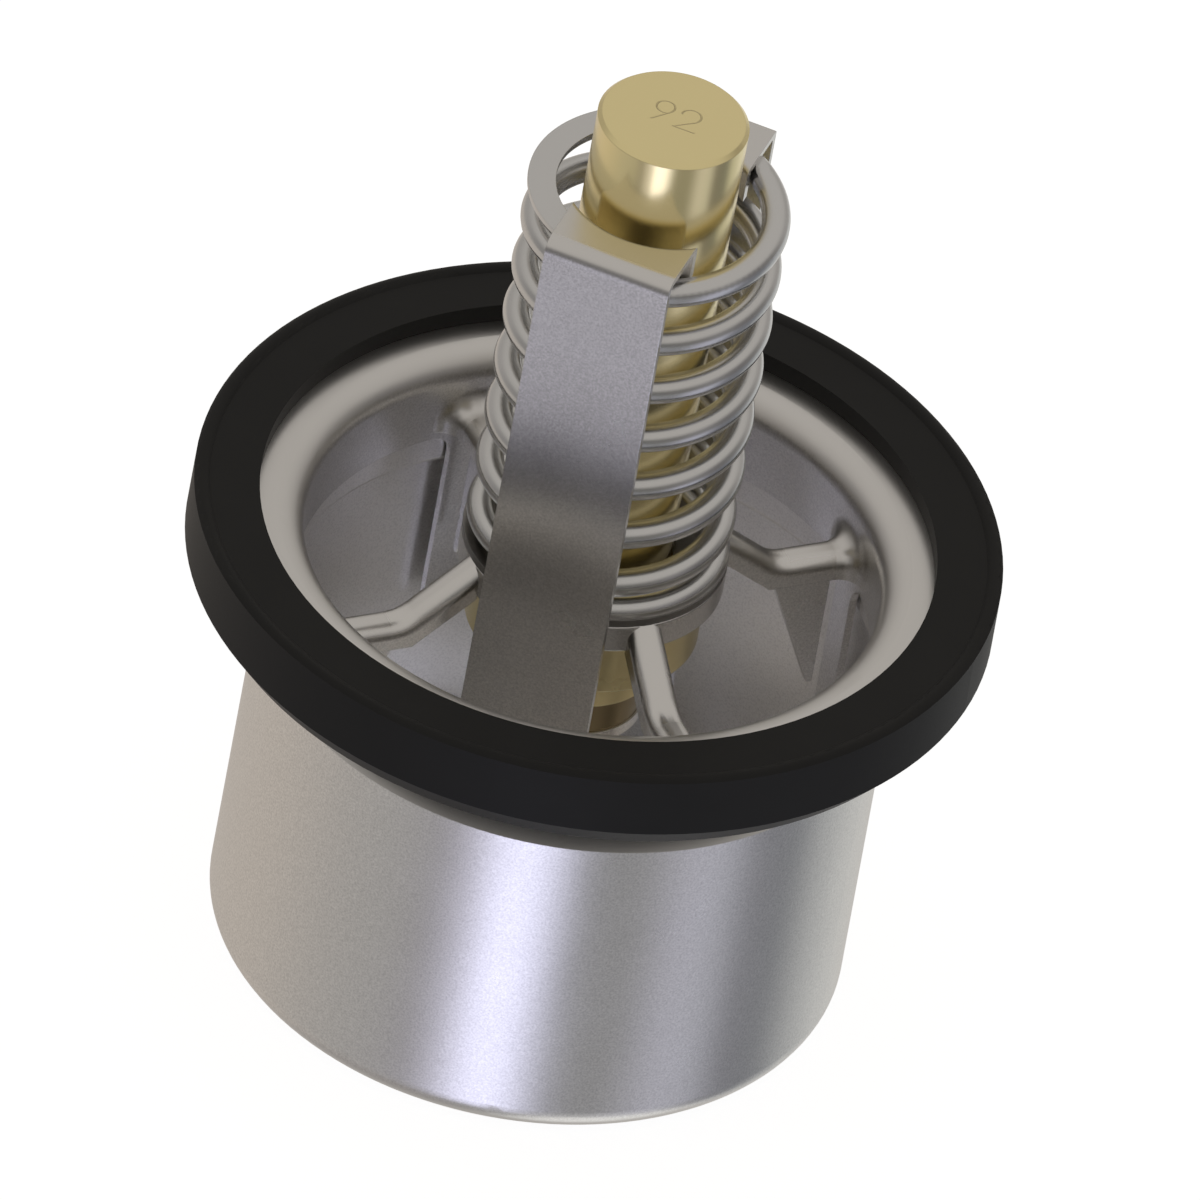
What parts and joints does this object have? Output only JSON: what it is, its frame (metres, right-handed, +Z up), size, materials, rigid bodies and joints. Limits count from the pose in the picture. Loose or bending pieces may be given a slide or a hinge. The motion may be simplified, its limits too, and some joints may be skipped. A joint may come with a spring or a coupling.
{
  "type": "engine coolant thermostat",
  "caption": "Ring slide thermostat insert: black rubber ring, pressed steel cup with spokes, brass wax capsule in a coil spring, two straps and a sliding sleeve.",
  "frame": {"origin": "centre of the sleeve's bottom plane, on the axis", "axes": "+Z up along the valve's axis, +Y from the front strap to the back strap, +X to the right"},
  "size_m": [0.085, 0.085, 0.1103],
  "materials": {
    "rubber": "matte",
    "pressed_steel": "satin",
    "spring_steel": "satin",
    "sleeve_steel": "fine satin",
    "brass": "satin",
    "dark_metal": "smooth",
    "wax": "dull"
  },
  "bodies": {
    "fixed_group": {"rubber_ring": "rubber", "flange_frame": "pressed_steel", "seat_washer": "dark_metal", "capsule_can": "brass", "crimp_collar": "brass", "wax_charge": "wax", "diaphragm": "rubber", "piston_guide": "dark_metal", "rubber_plug": "rubber", "slip_disc": "wax", "stem_ring": "pressed_steel", "main_spring": "spring_steel"},
    "sliding_group": {"sleeve": "sleeve_steel", "base_plate": "pressed_steel", "strap_front": "pressed_steel", "strap_back": "pressed_steel", "rivets": "spring_steel", "piston": "spring_steel", "piston_seat": "pressed_steel"}
  },
  "joints": [
    {"name": "valve_slide", "type": "slide", "parent": "fixed_group", "child": "sliding_group", "axis": [0, 0, -1], "range_m": [0, 0.01], "stiffness_N_per_m": 7600, "springref_m": -0.012, "deforming": ["main_spring"]}
  ]
}
